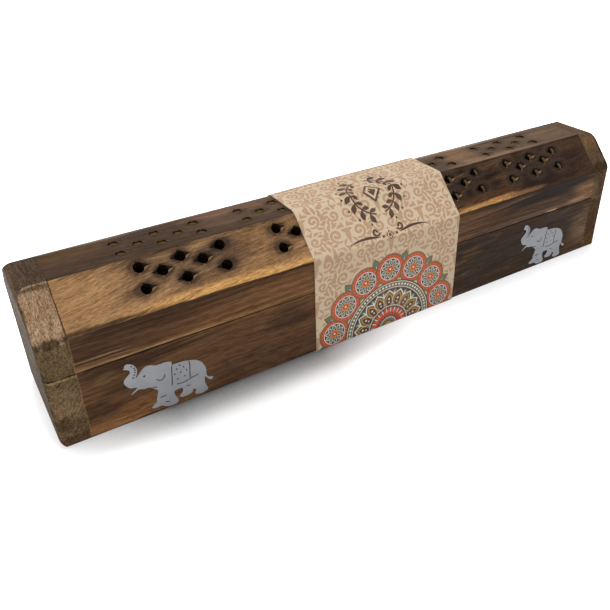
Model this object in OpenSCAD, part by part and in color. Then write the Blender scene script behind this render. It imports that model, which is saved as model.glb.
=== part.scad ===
// Long wooden box for burning incense sticks and cones, with a pierced lid on two hinges,
// a sliding panel that closes a storage space below, and a card band round the middle.
// X runs along the box, -Y is its front and +Z is up. The origin lies under the box's centre,
// on the surface that the box stands on.

/* [Box] */
// Length of the box
box_len = 305; // [240:5:400]
// Width of the box, front to back
box_w = 54; // [46:1:80]
// Height of the base, up to the seam
base_h = 32; // [28:1:60]
// Height of the lid, above the seam
lid_h = 32; // [26:1:44]
// Height of the lid's upright sides
lid_side_h = 15.5; // [12:0.5:20]
// Width of the flat top
top_w = 22; // [18:1:36]
// Thickness of the boards
board_t = 5.5; // [4.5:0.5:7]
// Thickness of the end blocks
end_t = 11.5; // [8:0.5:20]

/* [Worn edges] */
// Radius of the long edges
long_edge_r = 1.2; // [0.4:0.1:2]
// Radius of the end blocks' lower outer edges
foot_edge_r = 4; // [1:0.5:5]
// Radius of the end blocks' upper outer edges
top_edge_r = 4.5; // [1:0.5:6]
// Radius of the end blocks' upright outer edges
end_edge_r = 3; // [0.5:0.5:4]
// Flat worn on the edges along the seam
seam_edge = 0.5; // [0.2:0.1:1]
// How much lower the end blocks' eaves lie than the boards'
end_eaves_drop = 1; // [0:0.25:2]

/* [Smoke holes] */
// Radius of a smoke hole
hole_r = 2.2; // [1:0.1:2.4]
// Distance between two columns of smoke holes
hole_pitch = 8.4; // [7:0.1:10]
// Length of the gouged tail beside a hole, from the hole's centre
tail_len = 4.7; // [3:0.1:6]
// Width that the two sides of a tail would reach at the hole's centre
tail_w = 5.4; // [3:0.1:6]
// Slope of the gouged tail's floor down into the hole
tail_angle = 22; // [12:1:30]

/* [Burning floor and storage] */
// Depth of the burning trough below the seam
trough_deep = 12; // [9:0.5:18]
// Thickness of the board under the burning trough
floor_t = 5; // [4:0.5:6]
// Thickness of the sliding storage panel
panel_t = 4; // [3:0.5:5]
// Wood under the sliding panel's grooves
lip_h = 1.8; // [1.2:0.2:3]
// Depth of the sliding panel's grooves
groove_deep = 2.5; // [1.5:0.25:3]
// Play of the sliding panel in its grooves
panel_play = 0.3; // [0.1:0.1:0.6]
// Radius of the thumb scoop under the sliding panel
scoop_r = 14; // [8:1:20]
// Depth of the thumb scoop
scoop_deep = 1.6; // [1:0.2:2]

/* [Burners] */
// Radius of the hole that holds the stick
stick_hole_r = 1.3; // [0.9:0.1:1.6]
// Depth of the hole that holds the stick
stick_hole_deep = 12; // [8:1:14]
// Rise of the stick above level
stick_tilt = 5; // [3:1:8]
// Length of the stick holder's block
holder_len = 16; // [16:1:24]
// Width of the stick holder
holder_w = 9; // [7:0.5:12]
// Height of the stick holder
holder_h = 8; // [7:0.5:10]
// Length of the stick holder's two nailed ears
ear_len = 6; // [5:0.5:10]
// Thickness of the stick holder's ears and of the cone dish
plate_t = 1; // [0.8:0.1:1.5]
// Radius of the cone dish
dish_r = 14; // [10:0.5:17]
// Height of the cone dish's rim
dish_h = 3; // [2:0.25:4]

/* [Hinges] */
// Length of a hinge
hinge_len = 24; // [18:1:36]
// Height of a hinge leaf, from the pin's centre
leaf_h = 9; // [7:0.5:11]
// Thickness of a hinge leaf
leaf_t = 0.8; // [0.6:0.1:1]
// Outer radius of the hinge barrel
barrel_r = 1.4; // [1.2:0.1:1.6]
// Radius of the hinge pin
pin_r = 0.8; // [0.5:0.1:0.9]
// Running clearance of the hinge pin in its barrel
pin_play = 0.05; // [0.02:0.01:0.1]
// Gap between the hinge barrel and the wood, and between its knuckles
knuckle_gap = 0.2; // [0.1:0.05:0.4]
// Radius of a nail's shank
nail_r = 0.6; // [0.4:0.1:0.8]
// Radius of a nail's head
nail_head_r = 1.2; // [0.9:0.1:1.4]
// Height of a nail's head
nail_head_h = 0.5; // [0.3:0.1:0.6]
// Length of a nail's shank in the wood
nail_len = 3.6; // [2.5:0.1:4]

/* [Elephant inlays] */
// Length of an elephant, from trunk to tail
elephant_len = 36; // [24:1:38]
// Distance from the end of the box to an elephant's outer edge
elephant_inset = 27.5; // [22:0.5:36]
// Height of the elephants' feet above the box's underside
elephant_z = 1.5; // [1.5:0.25:4]
// Thickness of the inlaid metal
inlay_t = 1; // [0.6:0.1:1.2]
// How far the metal stands out of the wood
inlay_proud = 0.15; // [0:0.05:0.3]
// Width of an engraved line
line_w = 0.45; // [0.3:0.05:0.7]
// Depth of an engraved line
line_deep = 0.25; // [0.1:0.05:0.4]

/* [Card band] */
// Length of the band along the box
band_len = 81; // [50:1:110]
// Middle of the band, from the box's centre
band_x = 2; // [-8:1:8]
// Thickness of the card
band_t = 0.4; // [0.3:0.05:0.8]
// Gap between the card and the wood
band_gap = 0.4; // [0.3:0.1:1]
// Inner radius of the band's folds over the eaves and the top
band_fold_r = 2.5; // [1:0.25:3]
// Inner radius of the band's folds under the box
band_foot_r = 1.4; // [1:0.1:1.6]

/* [Hidden] */

// Overrun of every cut past the face that it opens
cut = 1;
// Radius of an engraved dot, as a share of a line's width
dot_share = 0.8;
// Steps in a worn edge or a fold
edge_steps = 3;
$fn = 48;

half_len = box_len / 2;
half_w = box_w / 2;
box_h = base_h + lid_h;
eaves_z = base_h + lid_side_h;
rail_len = box_len - 2 * end_t;
inner_w = box_w - 2 * board_t;

// The sliding panel's groove, and the two levels of the burning floor
groove_h = panel_t + panel_play;
groove_top = lip_h + groove_h;
floor_top = base_h - trough_deep;
floor_low = floor_top - floor_t;
panel_w = inner_w + 2 * groove_deep - 2 * panel_play;

// Where the burners and hinges stand, as shares of the box's length
stick_x_share = 0.37;
cone_x_share = -0.2;
hinge_x_share = 0.31;
stick_x = stick_x_share * box_len;
cone_x = cone_x_share * box_len;
hinge_x = hinge_x_share * box_len;

// Middle of an elephant, from the box's centre
elephant_x = half_len - elephant_inset - elephant_len / 2;

// The hinge pin runs along the seam, clear of the back
pin_y = half_w + barrel_r + knuckle_gap;
leaf_nail_share = 0.62;
leaf_nail_x_share = 0.3;

// Middles of the four groups of holes on the top and on a sloping side, along the box
top_group_shares = [-0.312, -0.134, 0.126, 0.312];
slope_group_shares = [-0.3, -0.105, 0.151, 0.33];
// Two rows of a pair of holes and the row of a single one, across the facet
top_row_shares = [0.25, 0.68, 0.46];
slope_row_shares = [0.42, 0.805, 0.65];
hole_columns = 5;

// Outline of an elephant that faces left, in hundredths of its length, clockwise from its trunk
elephant_shares = [
    [4, 75], [7, 76], [11, 74], [14, 71], [16, 66], [15.5, 60], [13, 54], [17.5, 58.5],
    [21, 62], [24.5, 64.5], [28, 65], [32, 64], [36, 62], [41, 61.5], [47, 61.5], [52, 60.5],
    [54.5, 58.5], [54.5, 55], [58, 55], [66, 54.5], [74, 53], [80, 51], [85, 48], [89, 43.5],
    [91.5, 38], [93, 33], [92.5, 27], [93, 23], [95.5, 20], [98.5, 19.5], [100, 17.5],
    [98, 15.5], [95, 17], [92, 20.5], [90, 23], [89.5, 15], [91, 9], [92, 5], [91, 2.5],
    [84.5, 1], [79, 2], [76, 4.5], [78, 8.5], [75, 11.5], [73, 8], [70, 6], [64.5, 5.5],
    [59.5, 6.5], [58, 9], [61, 12], [62.5, 15], [62, 18.5], [57, 19], [52.5, 18], [52.5, 13],
    [54, 8.5], [55.5, 4.5], [55, 1.5], [50, 0], [43, 0.5], [39, 2.5], [36, 4.5], [31, 4.5],
    [26.5, 5], [24.5, 7], [27, 9.5], [31, 12], [31.5, 16], [33, 21.5], [34.5, 26.5],
    [33.5, 29], [31, 31], [28.5, 34], [25, 36], [21, 36], [14, 38], [10, 36.5], [5, 34],
    [8, 37.5], [13, 41], [10, 42.5], [6, 43.5], [2.5, 47], [0.5, 51], [0, 54], [1.5, 57.5],
    [5, 60.5], [8, 63.5], [8, 67], [5, 69], [2, 70.5], [3.5, 72.5]
];
// Points on each stretch between two of an outline's points
curve_steps = 3;
// Engraved dots: the eye, those on the trunk and those on the blanket
eye_share = [22.5, 53];
dot_shares = [
    [11, 71], [13.5, 68], [14, 65], [13.5, 62], [12.5, 59], [10.5, 56],
    [63, 51], [59, 47], [67, 47], [56, 41], [63, 41], [70, 41], [58.5, 33.5], [67, 34]
];
// Engraved lines: the ear, the blanket's edges, the knees, the toes and the chest
line_shares = [
    [[35, 43], [37.5, 40.5], [41, 39.5], [44, 42.5], [45, 46]],
    [[54, 54], [53, 45], [52, 35], [51, 27]],
    [[74, 52.5], [74.5, 46], [73.5, 38], [73, 29]],
    [[56.5, 26.5], [64.5, 25.5], [72.5, 27.5], [83, 29.5]],
    [[36, 16.5], [43, 17]],
    [[67, 19.5], [71.5, 18.5]],
    [[41, 8], [45, 6.5]],
    [[29.5, 34], [34, 32.5]]
];

// Faces of the box's section as [angle of the outward normal, distance from the origin], from the
// front over the top to the underside and the front again. drop lowers the eaves.
function facets(drop) =
    let(
        slope = atan2(lid_h - lid_side_h + drop, half_w - top_w / 2),
        slope_at = half_w * sin(slope) + (eaves_z - drop) * cos(slope)
    )
    [
        [180, half_w], [90 + slope, slope_at], [90, box_h], [90 - slope, slope_at],
        [0, half_w], [-90, 0], [-180, half_w]
    ];

// Where face k meets the next one, with both moved out by away
function corner(faces, k, away) =
    let(
        a = faces[k][0],
        b = faces[k + 1][0],
        d = faces[k][1] + away,
        e = faces[k + 1][1] + away
    )
    [d * sin(b) - e * sin(a), e * cos(a) - d * cos(b)] / sin(b - a);

function middle(faces, k) = (faces[k][0] + faces[k + 1][0]) / 2;

function arc(centre, r, from, to, steps) =
    [for (i = [0:steps]) let(a = from + (to - from) * i / steps) centre + r * [cos(a), sin(a)]];

// Part of the round of radius r on the corner after face k, between two directions
function worn(faces, k, r, from, to) =
    arc(corner(faces, k, -r), r, from, to, edge_steps);

function whole_round(faces, k, r) = worn(faces, k, r, faces[k][0], faces[k + 1][0]);

// A smooth curve through the points of a closed outline
function curve_point(a, b, c, d, t) =
    (2 * b + (c - a) * t + (2 * a - 5 * b + 4 * c - d) * t * t
        + (3 * b - a - 3 * c + d) * t * t * t) / 2;

function smooth_loop(p, steps) =
    let(n = len(p))
    [
        for (i = [0:n - 1], s = [0:steps - 1])
            curve_point(p[(i + n - 1) % n], p[i], p[(i + 1) % n], p[(i + 2) % n], s / steps)
    ];

// Sections drawn as [y, z] run along X from their start, and elevations drawn as [x, z] along -Y
module along_x(length) {
    rotate([90, 0, 90]) linear_extrude(length) children();
}

module along_y(length) {
    rotate([90, 0, 0]) linear_extrude(length) children();
}

module both_sides(way) {
    mirror([way < 0 ? 1 : 0, 0, 0]) children();
}

// Everything stands on the part of the band that runs under the box
module standing() {
    translate([0, 0, band_t]) children();
}

module nail() {
    translate([0, 0, -nail_len]) cylinder(r = nail_r, h = nail_len);
    cylinder(r1 = nail_head_r, r2 = nail_head_r - nail_head_h, h = nail_head_h);
}

module nail_hole(through) {
    translate([0, 0, -nail_len]) cylinder(r = nail_r, h = nail_len + through);
}

// A board of a rail's length
module long_board() {
    translate([-rail_len / 2, 0, 0]) along_x(rail_len) children();
}

module base_rail() {
    faces = facets(0);
    inner_y = -half_w + board_t;
    groove_y = inner_y - groove_deep;
    long_board() polygon(concat(
        [[inner_y, base_h], [-half_w + seam_edge, base_h], [-half_w, base_h - seam_edge]],
        worn(faces, 5, long_edge_r, -180, -90),
        [[inner_y, 0], [inner_y, lip_h], [groove_y, lip_h], [groove_y, groove_top]],
        [[inner_y, groove_top]]
    ));
}

module lid_rail() {
    faces = facets(0);
    inner_y = -half_w + board_t;
    long_board() polygon(concat(
        [[inner_y, base_h], [-half_w + seam_edge, base_h], [-half_w, base_h + seam_edge]],
        worn(faces, 0, long_edge_r, faces[0][0], middle(faces, 0)),
        [corner(faces, 0, -board_t)]
    ));
}

// The board behind face k, mitred at both long edges
module slat(k) {
    faces = facets(0);
    long_board() polygon(concat(
        worn(faces, k - 1, long_edge_r, middle(faces, k - 1), faces[k][0]),
        worn(faces, k, long_edge_r, faces[k][0], middle(faces, k)),
        [corner(faces, k, -board_t), corner(faces, k - 1, -board_t)]
    ));
}

// Puts X along the box, Y up face k from its lower edge and Z out of it
module on_face(k) {
    faces = facets(0);
    start = corner(faces, k - 1, 0);
    translate([0, start[0], start[1]]) rotate([faces[k][0] - 90, 0, 0]) children();
}

// A tail with a point, cut by a tool with a V-shaped edge that slopes down into the hole
module gouge() {
    deep = tail_len * tan(tail_angle);
    high = 2 * deep;
    translate([tail_len, 0, 0])
        rotate([0, -90 - tail_angle, 0])
            linear_extrude(tail_len / cos(tail_angle))
                polygon([[0, 0], [high, tail_w], [high, -tail_w]]);
}

module smoke_hole(left, right) {
    translate([0, 0, -board_t - cut]) cylinder(r = hole_r, h = board_t + 2 * cut);
    if (left) both_sides(-1) gouge();
    if (right) gouge();
}

// Groups of eight holes in columns of two and one, with tails that point into the group
module smoke_holes(k, group_shares, row_shares) {
    faces = facets(0);
    face_w = norm(corner(faces, k, 0) - corner(faces, k - 1, 0));
    last = hole_columns - 1;
    on_face(k) for (share = group_shares, column = [0:last]) {
        rows = column % 2 == 0 ? [row_shares[0], row_shares[1]] : [row_shares[2]];
        for (row = rows)
            translate([share * box_len + (column - last / 2) * hole_pitch, row * face_w, 0])
                smoke_hole(column > 0, column < last);
    }
}

// An end block of the given section, from low to high, with its outer edges worn round.
// It is drawn at the right end.
module end_block(low, high, low_r, high_r) {
    inner_x = half_len - end_t;
    intersection() {
        translate([inner_x, 0, 0]) along_x(end_t) children();
        translate([0, half_w + cut, 0]) along_y(box_w + 2 * cut) polygon(concat(
            [[inner_x, low]],
            arc([half_len - low_r, low + low_r], low_r, -90, 0, 2 * edge_steps),
            arc([half_len - high_r, high - high_r], high_r, 0, 90, 2 * edge_steps),
            [[inner_x, high]]
        ));
        translate([0, 0, low]) linear_extrude(high - low) polygon(concat(
            [[inner_x, -half_w]],
            arc([half_len - end_edge_r, -half_w + end_edge_r], end_edge_r, -90, 0, 2 * edge_steps),
            arc([half_len - end_edge_r, half_w - end_edge_r], end_edge_r, 0, 90, 2 * edge_steps),
            [[inner_x, half_w]]
        ));
    }
}

module base_end() {
    faces = facets(0);
    end_block(0, base_h, foot_edge_r, 2 * seam_edge) polygon(concat(
        [[-half_w, base_h]],
        worn(faces, 5, long_edge_r, -180, -90),
        worn(faces, 4, long_edge_r, -90, 0),
        [[half_w, base_h]]
    ));
}

module lid_end() {
    faces = facets(end_eaves_drop);
    end_block(base_h, box_h, 2 * seam_edge, top_edge_r) polygon(concat(
        [[-half_w, base_h]],
        whole_round(faces, 0, long_edge_r),
        whole_round(faces, 1, long_edge_r),
        whole_round(faces, 2, long_edge_r),
        whole_round(faces, 3, long_edge_r),
        [[half_w, base_h]]
    ));
}

// Lower left corner of an elephant, seen on the front face
module at_elephant(way) {
    translate([way * elephant_x - elephant_len / 2, -half_w, elephant_z])
        rotate([90, 0, 0]) children();
}

module elephant_outline() {
    polygon(smooth_loop(elephant_shares, curve_steps) * elephant_len / 100);
}

module engraved_dot(place, r) {
    translate(place * elephant_len / 100) circle(r);
}

module engraved_line(from, to) {
    run = (to - from) * elephant_len / 100;
    translate(from * elephant_len / 100)
        rotate(atan2(run[1], run[0]))
            translate([0, -line_w / 2])
                square([norm(run), line_w]);
}

module engraving() {
    engraved_dot(eye_share, line_w);
    for (place = dot_shares) engraved_dot(place, dot_share * line_w);
    for (path = line_shares, i = [1:len(path) - 1]) engraved_line(path[i - 1], path[i]);
}

module elephant() {
    difference() {
        translate([0, 0, inlay_proud - inlay_t]) linear_extrude(inlay_t) elephant_outline();
        translate([0, 0, inlay_proud - line_deep]) linear_extrude(line_deep + cut) engraving();
    }
}

module elephant_pocket() {
    translate([0, 0, inlay_proud - inlay_t]) linear_extrude(inlay_t + cut) elephant_outline();
}

// Places at the back, with X along the pin and Z up, for the hinge on one side
module at_hinge(way) {
    translate([way * hinge_x, pin_y, base_h]) children();
}

// The nails of a leaf. side is 1 on the lid and -1 on the base.
module at_leaf_nails(side) {
    for (way = [-1, 1])
        translate([way * leaf_nail_x_share * hinge_len, leaf_t - pin_y + half_w, side * leaf_nail_share * leaf_h])
            rotate([-90, 0, 0]) children();
}

module knuckle(start, end) {
    translate([start, 0, 0]) rotate([0, 90, 0]) cylinder(r = barrel_r, h = end - start);
}

// A leaf with its share of the barrel's three knuckles
module hinge_leaf(side) {
    edge = hinge_len / 2;
    third = hinge_len / 6;
    room = barrel_r + knuckle_gap;
    own = side > 0 ? [[-third, third]] : [[-edge, -third - knuckle_gap], [third + knuckle_gap, edge]];
    other = side > 0
        ? [[-edge - cut, -third], [third, edge + cut]]
        : [[-third - knuckle_gap, third + knuckle_gap]];
    difference() {
        union() {
            difference() {
                translate([-edge, half_w - pin_y, side > 0 ? 0 : -leaf_h])
                    cube([hinge_len, leaf_t, leaf_h]);
                for (span = other)
                    translate([span[0], -room - cut, -room])
                        cube([span[1] - span[0], room + 2 * cut, 2 * room]);
            }
            for (span = own) knuckle(span[0], span[1]);
        }
        translate([-edge - cut, 0, 0])
            rotate([0, 90, 0])
                cylinder(r = pin_r + pin_play, h = hinge_len + 2 * cut);
        at_leaf_nails(side) nail_hole(cut);
    }
}

// The pin, with a head at each end that keeps it in its barrel
module hinge_pin() {
    head = (pin_r + barrel_r) / 2;
    rotate([0, 90, 0]) {
        translate([0, 0, -hinge_len / 2]) cylinder(r = pin_r, h = hinge_len);
        translate([0, 0, -hinge_len / 2 - pin_r]) cylinder(r1 = pin_r, r2 = head, h = pin_r);
        translate([0, 0, hinge_len / 2]) cylinder(r1 = head, r2 = pin_r, h = pin_r);
    }
}

module hinge_nails(side) {
    for (way = [-1, 1]) at_hinge(way) at_leaf_nails(side) nail();
}

module hinge_nail_holes(side) {
    for (way = [-1, 1]) at_hinge(way) at_leaf_nails(side) nail_hole(cut);
}

module base_front_rail() {
    color("#4a3226") standing() difference() {
        base_rail();
        for (way = [-1, 1]) at_elephant(way) elephant_pocket();
    }
}

module base_back_rail() {
    color("#4a3226") standing() difference() {
        mirror([0, 1, 0]) base_rail();
        hinge_nail_holes(-1);
    }
}

module base_left_end() {
    color("#5d4c36") standing() difference() {
        both_sides(-1) base_end();
        translate([-half_len + end_t - groove_deep, -panel_w / 2 - panel_play, lip_h])
            cube([groove_deep + cut, panel_w + 2 * panel_play, groove_h]);
    }
}

module base_right_end() {
    color("#5d4c36") standing() difference() {
        base_end();
        translate([half_len - end_t - cut, -panel_w / 2 - panel_play, -cut])
            cube([end_t + 2 * cut, panel_w + 2 * panel_play, groove_top + cut]);
    }
}

module at_stick_holder() {
    translate([stick_x, 0, floor_top]) children();
}

module at_ear_nails() {
    for (way = [-1, 1])
        translate([way * (holder_len + ear_len) / 2, 0, plate_t]) children();
}

module at_cone_dish() {
    translate([cone_x, 0, floor_top]) children();
}

module burner_floor() {
    color("#7a5c3f") standing() difference() {
        translate([-rail_len / 2, -inner_w / 2, floor_low]) cube([rail_len, inner_w, floor_t]);
        at_stick_holder() at_ear_nails() nail_hole(cut);
        at_cone_dish() translate([0, 0, plate_t]) nail_hole(cut);
    }
}

// The stick's hole slants down into the block from its left face
module stick_holder() {
    mouth_share = 0.6;
    color("#b8934a") standing() at_stick_holder() difference() {
        union() {
            translate([-holder_len / 2, -holder_w / 2, 0]) cube([holder_len, holder_w, holder_h]);
            translate([-holder_len / 2 - ear_len, -holder_w / 2, 0])
                cube([holder_len + 2 * ear_len, holder_w, plate_t]);
        }
        translate([-holder_len / 2, 0, mouth_share * holder_h])
            rotate([0, 90 + stick_tilt, 0])
                translate([0, 0, -cut])
                    cylinder(r = stick_hole_r, h = stick_hole_deep + cut);
        at_ear_nails() nail_hole(cut);
    }
}

module stick_holder_nails() {
    color("#9a7a3c") standing() at_stick_holder() at_ear_nails() nail();
}

// A round dish with a low slanting rim
module cone_dish() {
    rim_run = (dish_h - plate_t) / 2;
    color("#b8934a") standing() at_cone_dish() difference() {
        rotate_extrude() polygon([
            [0, 0], [dish_r - rim_run, 0], [dish_r, dish_h], [dish_r - plate_t, dish_h],
            [dish_r - rim_run - plate_t, plate_t], [0, plate_t]
        ]);
        translate([0, 0, plate_t]) nail_hole(cut);
    }
}

module cone_dish_nail() {
    color("#9a7a3c") standing() at_cone_dish() translate([0, 0, plate_t]) nail();
}

module elephant_left() {
    color("#9a9da3") standing() at_elephant(-1) elephant();
}

module elephant_right() {
    color("#9a9da3") standing() at_elephant(1) elephant();
}

module left_hinge_base_leaf() {
    color("#a8843f") standing() at_hinge(-1) hinge_leaf(-1);
}

module right_hinge_base_leaf() {
    color("#a8843f") standing() at_hinge(1) hinge_leaf(-1);
}

module left_hinge_pin() {
    color("#8a6c35") standing() at_hinge(-1) hinge_pin();
}

module right_hinge_pin() {
    color("#8a6c35") standing() at_hinge(1) hinge_pin();
}

module hinge_base_nails() {
    color("#8a6c35") standing() hinge_nails(-1);
}

module lid_top_slat() {
    color("#574438") standing() difference() {
        slat(2);
        smoke_holes(2, top_group_shares, top_row_shares);
    }
}

module sloping_slat() {
    difference() {
        slat(1);
        smoke_holes(1, slope_group_shares, slope_row_shares);
    }
}

module lid_front_slat() {
    color("#a77f54") standing() sloping_slat();
}

module lid_back_slat() {
    color("#6b5140") standing() mirror([0, 1, 0]) sloping_slat();
}

module lid_front_rail() {
    color("#53392a") standing() lid_rail();
}

module lid_back_rail() {
    color("#53392a") standing() difference() {
        mirror([0, 1, 0]) lid_rail();
        hinge_nail_holes(1);
    }
}

module lid_left_end() {
    color("#7d654a") standing() both_sides(-1) lid_end();
}

module lid_right_end() {
    color("#7d654a") standing() lid_end();
}

module left_hinge_lid_leaf() {
    color("#a8843f") standing() at_hinge(-1) hinge_leaf(1);
}

module right_hinge_lid_leaf() {
    color("#a8843f") standing() at_hinge(1) hinge_leaf(1);
}

module hinge_lid_nails() {
    color("#8a6c35") standing() hinge_nails(1);
}

// The panel slides out at the right end. Its left end sits in the left end block's groove.
module storage_panel() {
    start = -half_len + end_t - groove_deep + panel_play;
    scoop_x = half_len - end_t;
    color("#8a6a48") standing() difference() {
        translate([start, -panel_w / 2, lip_h]) cube([half_len - start, panel_w, panel_t]);
        translate([scoop_x, scoop_r, lip_h + scoop_deep - scoop_r])
            rotate([90, 0, 0])
                cylinder(r = scoop_r, h = 2 * scoop_r);
    }
}

// Outline of the band, out by the given distance from its inner face
module band_outline(out) {
    faces = [
        for (face = facets(0)) [face[0], face[1] + out + (face[0] == -90 ? 0 : band_gap)]
    ];
    polygon([
        for (k = [0:5]) each whole_round(faces, k, out + (k < 4 ? band_fold_r : band_foot_r))
    ]);
}

module card_band() {
    color("#e0c39a") standing()
        translate([band_x - band_len / 2, 0, 0])
            along_x(band_len)
                difference() {
                    band_outline(band_t);
                    band_outline(0);
                }
}

base_front_rail();
base_back_rail();
base_left_end();
base_right_end();
burner_floor();
stick_holder();
stick_holder_nails();
cone_dish();
cone_dish_nail();
elephant_left();
elephant_right();
left_hinge_base_leaf();
right_hinge_base_leaf();
left_hinge_pin();
right_hinge_pin();
hinge_base_nails();
lid_top_slat();
lid_front_slat();
lid_back_slat();
lid_front_rail();
lid_back_rail();
lid_left_end();
lid_right_end();
left_hinge_lid_leaf();
right_hinge_lid_leaf();
hinge_lid_nails();
storage_panel();
card_band();
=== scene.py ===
"""Dresses a packed incense box: scorched mango wood, aluminium inlays, brass fittings and a card band."""
import math
from bisect import bisect_right

import bpy
from bpy.props import FloatProperty, FloatVectorProperty, IntProperty, PointerProperty
from mathutils import Matrix, Vector
from mathutils.geometry import delaunay_2d_cdt


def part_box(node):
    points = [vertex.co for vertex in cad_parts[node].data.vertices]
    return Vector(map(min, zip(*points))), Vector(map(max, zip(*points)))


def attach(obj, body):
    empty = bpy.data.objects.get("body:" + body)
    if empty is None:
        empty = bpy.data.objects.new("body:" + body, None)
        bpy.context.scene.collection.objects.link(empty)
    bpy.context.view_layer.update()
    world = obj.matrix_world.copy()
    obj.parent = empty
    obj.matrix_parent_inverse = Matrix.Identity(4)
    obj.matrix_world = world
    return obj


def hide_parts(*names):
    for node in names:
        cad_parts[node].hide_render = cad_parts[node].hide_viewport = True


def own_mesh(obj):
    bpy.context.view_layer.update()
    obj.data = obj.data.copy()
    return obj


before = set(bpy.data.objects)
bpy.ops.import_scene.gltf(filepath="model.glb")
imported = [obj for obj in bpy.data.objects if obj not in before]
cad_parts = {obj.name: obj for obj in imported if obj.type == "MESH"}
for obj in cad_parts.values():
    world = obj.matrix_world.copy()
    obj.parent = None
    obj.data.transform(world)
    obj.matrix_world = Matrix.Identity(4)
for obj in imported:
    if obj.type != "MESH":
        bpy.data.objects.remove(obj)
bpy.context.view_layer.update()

bl_info = {
    "name": "Incense box",
    "version": (1, 0, 0),
    "blender": (4, 5, 0),
    "location": "View3D > Sidebar > Incense box",
    "description": "Finishes the wood, inlays and fittings of an incense box, and makes its card band",
    "category": "Object",
}

MM = 0.001


def tint(colour):
    """An sRGB colour such as #dcc8a4 as linear red, green, blue and alpha."""
    parts = [int(colour[i : i + 2], 16) / 255 for i in (1, 3, 5)]
    linear = [c / 12.92 if c <= 0.04045 else ((c + 0.055) / 1.055) ** 2.4 for c in parts]
    return (*linear, 1.0)


def colour_property(name, colour, description):
    return FloatVectorProperty(
        name=name, description=description, subtype="COLOR", size=4, min=0.0, max=1.0, default=tint(colour)
    )


def length_property(name, size_mm, description):
    return FloatProperty(name=name, description=description, unit="LENGTH", min=0.0, default=size_mm * MM)


class WoodLooks(bpy.types.PropertyGroup):
    """Colours and grain of the mango wood."""

    front: colour_property("Front", "#644730", "Brown of the scorched upright boards")
    slope: colour_property("Slope", "#a98159", "Tan of the lightly scorched sloping boards")
    top: colour_property("Top", "#463529", "Grey-brown of the scorched top board")
    back: colour_property("Back slope", "#856345", "Brown of the back's sloping board")
    block: colour_property("End blocks", "#766248", "Olive-tan of the blocks' end grain")
    plain: colour_property("Plain wood", "#9c7650", "Brown of the sanded wood inside")
    char: colour_property("Char", "#1c130d", "Burnt wood inside the smoke holes")
    smoke: colour_property("Smoke", "#574436", "Smoke-stained wood round the smoke holes")
    fresh: colour_property("Cut wood", "#a5824f", "Clean wood that the gouge left bare")


class MetalLooks(bpy.types.PropertyGroup):
    """Colours of the inlays and fittings."""

    aluminium: colour_property("Aluminium", "#999ba0", "Satin aluminium sheet")
    engraving: colour_property("Engraving", "#3f3c3d", "Dark wax left in the engraved lines")
    brass: colour_property("Brass", "#c6a15c", "Stamped brass")
    tarnish: colour_property("Tarnish", "#77592c", "Brass where it has darkened")


class BandSizes(bpy.types.PropertyGroup):
    """Sizes and inks of the card band."""

    card: length_property("Card", 0.4, "Thickness of the card")
    fold: length_property("Fold", 1.5, "Outer radius of the folds over the box")
    soft_fold: length_property("Soft fold", 5.5, "Outer radius of the same folds at the band's left edge")
    soft_width: length_property("Soft width", 22.0, "Width at the left edge over which the folds grow crisp")
    foot: length_property("Foot fold", 1.8, "Outer radius of the folds under the box")
    eaves: length_property("Eaves", 48.22, "Height of the folds over the eaves")
    ridge: length_property("Top fold", 11.34, "Distance of the top's folds from the middle")
    flap: length_property("Flap", 12.0, "Length of the glued overlap at the back")
    repeat: length_property("Repeat", 20.0, "Width and length of one repeat of the scrolls")
    rosette: length_property("Rosette", 40.5, "Radius of the half rosette on the front")
    steps: IntProperty(name="Fold steps", description="Flats in each fold", min=2, max=12, default=5)
    ground: colour_property("Ground", "#e0caab", "Cream of the printed card")
    raw: colour_property("Raw card", "#eee0c6", "Unprinted card on the inside and the cut edges")
    scroll: colour_property("Scrolls", "#c49f80", "Pinkish tan of the scrolls")
    umber: colour_property("Umber", "#4b3427", "Dark brown ornament")
    coral: colour_property("Coral", "#d05038", "Coral ink")
    olive: colour_property("Olive", "#6d673f", "Olive ink")
    ochre: colour_property("Ochre", "#d3923a", "Ochre ink")
    sage: colour_property("Sage", "#67786a", "Grey-green ink")
    white: colour_property("White", "#f1ece2", "White ink")


class StageSizes(bpy.types.PropertyGroup):
    """Camera and lamps."""

    lens: FloatProperty(name="Lens", description="Focal length", unit="CAMERA", default=40.155)
    shift: FloatProperty(name="Shift", description="Shift of the camera, across and up", default=-0.041)
    sky: FloatProperty(name="Sky", description="Strength of the even light from all round", default=0.3)
    key: FloatProperty(name="Key", description="Power of the lamp above", subtype="POWER", default=4.9)
    fill: FloatProperty(name="Fill", description="Power of the lamp in front", subtype="POWER", default=4.4)


def add(tree, kind, *values, out=0, named=None, **settings):
    """Adds a node with its settings. Values go to its inputs in order or by name, and a socket among them is
    linked. It gives back the output of that number, or the node itself where out is None."""
    made = tree.nodes.new("ShaderNode" + kind)
    for name, value in settings.items():
        setattr(made, name, value)
    for key, value in [*enumerate(values), *(named or {}).items()]:
        if isinstance(value, bpy.types.NodeSocket):
            tree.links.new(value, made.inputs[key])
        else:
            made.inputs[key].default_value = value
    return made if out is None else made.outputs[out]


def new_object(name, data):
    """An object with that data, put into the scene."""
    made = bpy.data.objects.new(name, data)
    bpy.context.scene.collection.objects.link(made)
    return made


def new_material(name):
    """An empty material and its node tree."""
    material = bpy.data.materials.new(name)
    material.use_nodes = True
    material.node_tree.nodes.clear()
    return material, material.node_tree


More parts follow.
